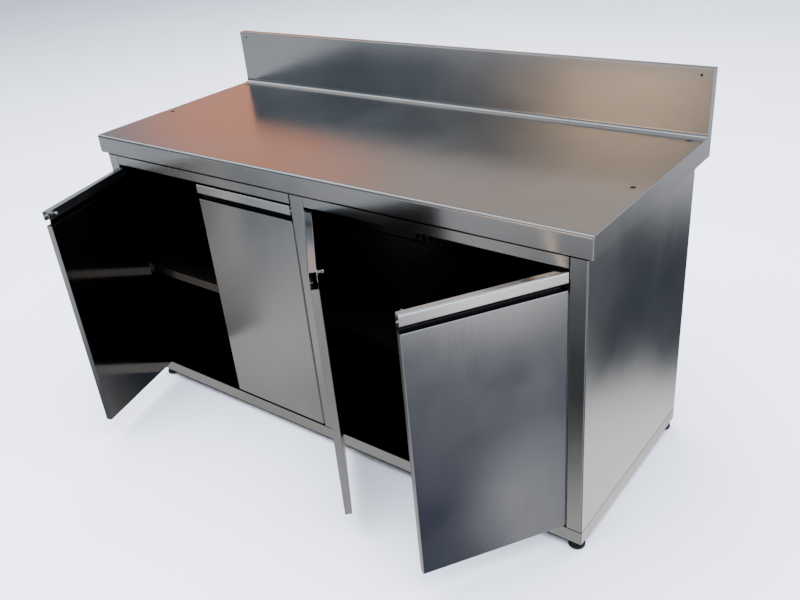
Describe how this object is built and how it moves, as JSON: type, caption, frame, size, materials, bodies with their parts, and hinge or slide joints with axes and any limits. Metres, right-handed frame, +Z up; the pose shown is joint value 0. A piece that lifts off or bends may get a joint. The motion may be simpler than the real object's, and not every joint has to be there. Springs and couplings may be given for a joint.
{
  "type": "work table",
  "caption": "Stainless kitchen work table with rear upstand over a cupboard of hinged double-skin doors with folded finger channels, a mid-height shelf and round levelling feet.",
  "frame": {"origin": "on the floor, under the middle of the bounding box of the table with three doors open", "axes": "+X right along the table, +Y to the back, +Z up"},
  "size_m": [1.6, 0.9659, 1.02],
  "materials": {
    "worktop_steel": "satin, worn",
    "body_steel": "satin",
    "frame_steel": "mill",
    "shelf_steel": "satin",
    "door_steel": "satin",
    "door_inner_steel": "bright",
    "hinge_steel": "mill",
    "plated_steel": "bright zinc plate",
    "spring_steel": "mill",
    "core_board": "pressed felt board",
    "black_plastic": "moulded"
  },
  "bodies": {
    "cabinet": {"worktop": "worktop_steel", "side_panel_left": "body_steel", "side_panel_right": "body_steel", "base_tray": "body_steel", "mullion": "body_steel", "top_rail_left": "body_steel", "top_rail_right": "body_steel", "back_panel": "body_steel", "worktop_stiffeners": "frame_steel", "rear_rail": "frame_steel", "shelf_bracket_left": "frame_steel", "shelf_bracket_right": "frame_steel", "shelf_bearer": "frame_steel", "shelf_left": "shelf_steel", "shelf_right": "shelf_steel", "foot_sockets": "plated_steel", "hinge_pin_1": "plated_steel", "hinge_pin_2": "plated_steel", "hinge_pin_3": "plated_steel", "hinge_pin_4": "plated_steel", "catch_clip_1": "spring_steel", "catch_clip_2": "spring_steel", "catch_clip_3": "spring_steel", "catch_clip_4": "spring_steel", "hinge_leaf_frame_1": "hinge_steel", "hinge_leaf_frame_2": "hinge_steel", "hinge_leaf_frame_3": "hinge_steel", "hinge_leaf_frame_4": "hinge_steel"},
    "door_1": {"door_1_skin": "door_steel", "door_1_inner": "door_inner_steel", "door_1_core": "core_board", "striker_1": "plated_steel", "hinge_leaf_door_1": "hinge_steel"},
    "door_2": {"door_2_skin": "door_steel", "door_2_inner": "door_inner_steel", "door_2_core": "core_board", "striker_2": "plated_steel", "hinge_leaf_door_2": "hinge_steel"},
    "door_3": {"door_3_skin": "door_steel", "door_3_inner": "door_inner_steel", "door_3_core": "core_board", "striker_3": "plated_steel", "hinge_leaf_door_3": "hinge_steel"},
    "door_4": {"door_4_skin": "door_steel", "door_4_inner": "door_inner_steel", "door_4_core": "core_board", "striker_4": "plated_steel", "hinge_leaf_door_4": "hinge_steel"},
    "foot_front_left": {"foot_front_left": "black_plastic", "foot_stem_front_left": "plated_steel"},
    "foot_front_right": {"foot_front_right": "black_plastic", "foot_stem_front_right": "plated_steel"},
    "foot_rear_left": {"foot_rear_left": "black_plastic", "foot_stem_rear_left": "plated_steel"},
    "foot_rear_right": {"foot_rear_right": "black_plastic", "foot_stem_rear_right": "plated_steel"}
  },
  "joints": [
    {"name": "door_1_hinge", "type": "hinge", "parent": "cabinet", "child": "door_1", "pos_m": [-0.742, -0.1538, 0.39], "axis": [0, 0, -1], "range_deg": [-73, 20]},
    {"name": "door_2_hinge", "type": "hinge", "parent": "cabinet", "child": "door_2", "pos_m": [-0.0375, -0.1538, 0.39], "axis": [0, 0, 1], "range_deg": [0, 93]},
    {"name": "door_3_hinge", "type": "hinge", "parent": "cabinet", "child": "door_3", "pos_m": [0.0125, -0.1538, 0.39], "axis": [0, 0, -1], "range_deg": [-46, 47]},
    {"name": "door_4_hinge", "type": "hinge", "parent": "cabinet", "child": "door_4", "pos_m": [0.742, -0.1538, 0.39], "axis": [0, 0, 1], "range_deg": [-57, 36]},
    {"name": "foot_front_left_height", "type": "slide", "parent": "cabinet", "child": "foot_front_left", "axis": [0, 0, -1], "range_m": [-0.002, 0.02]},
    {"name": "foot_front_right_height", "type": "slide", "parent": "cabinet", "child": "foot_front_right", "axis": [0, 0, -1], "range_m": [-0.002, 0.02]},
    {"name": "foot_rear_left_height", "type": "slide", "parent": "cabinet", "child": "foot_rear_left", "axis": [0, 0, -1], "range_m": [-0.002, 0.02]},
    {"name": "foot_rear_right_height", "type": "slide", "parent": "cabinet", "child": "foot_rear_right", "axis": [0, 0, -1], "range_m": [-0.002, 0.02]}
  ]
}
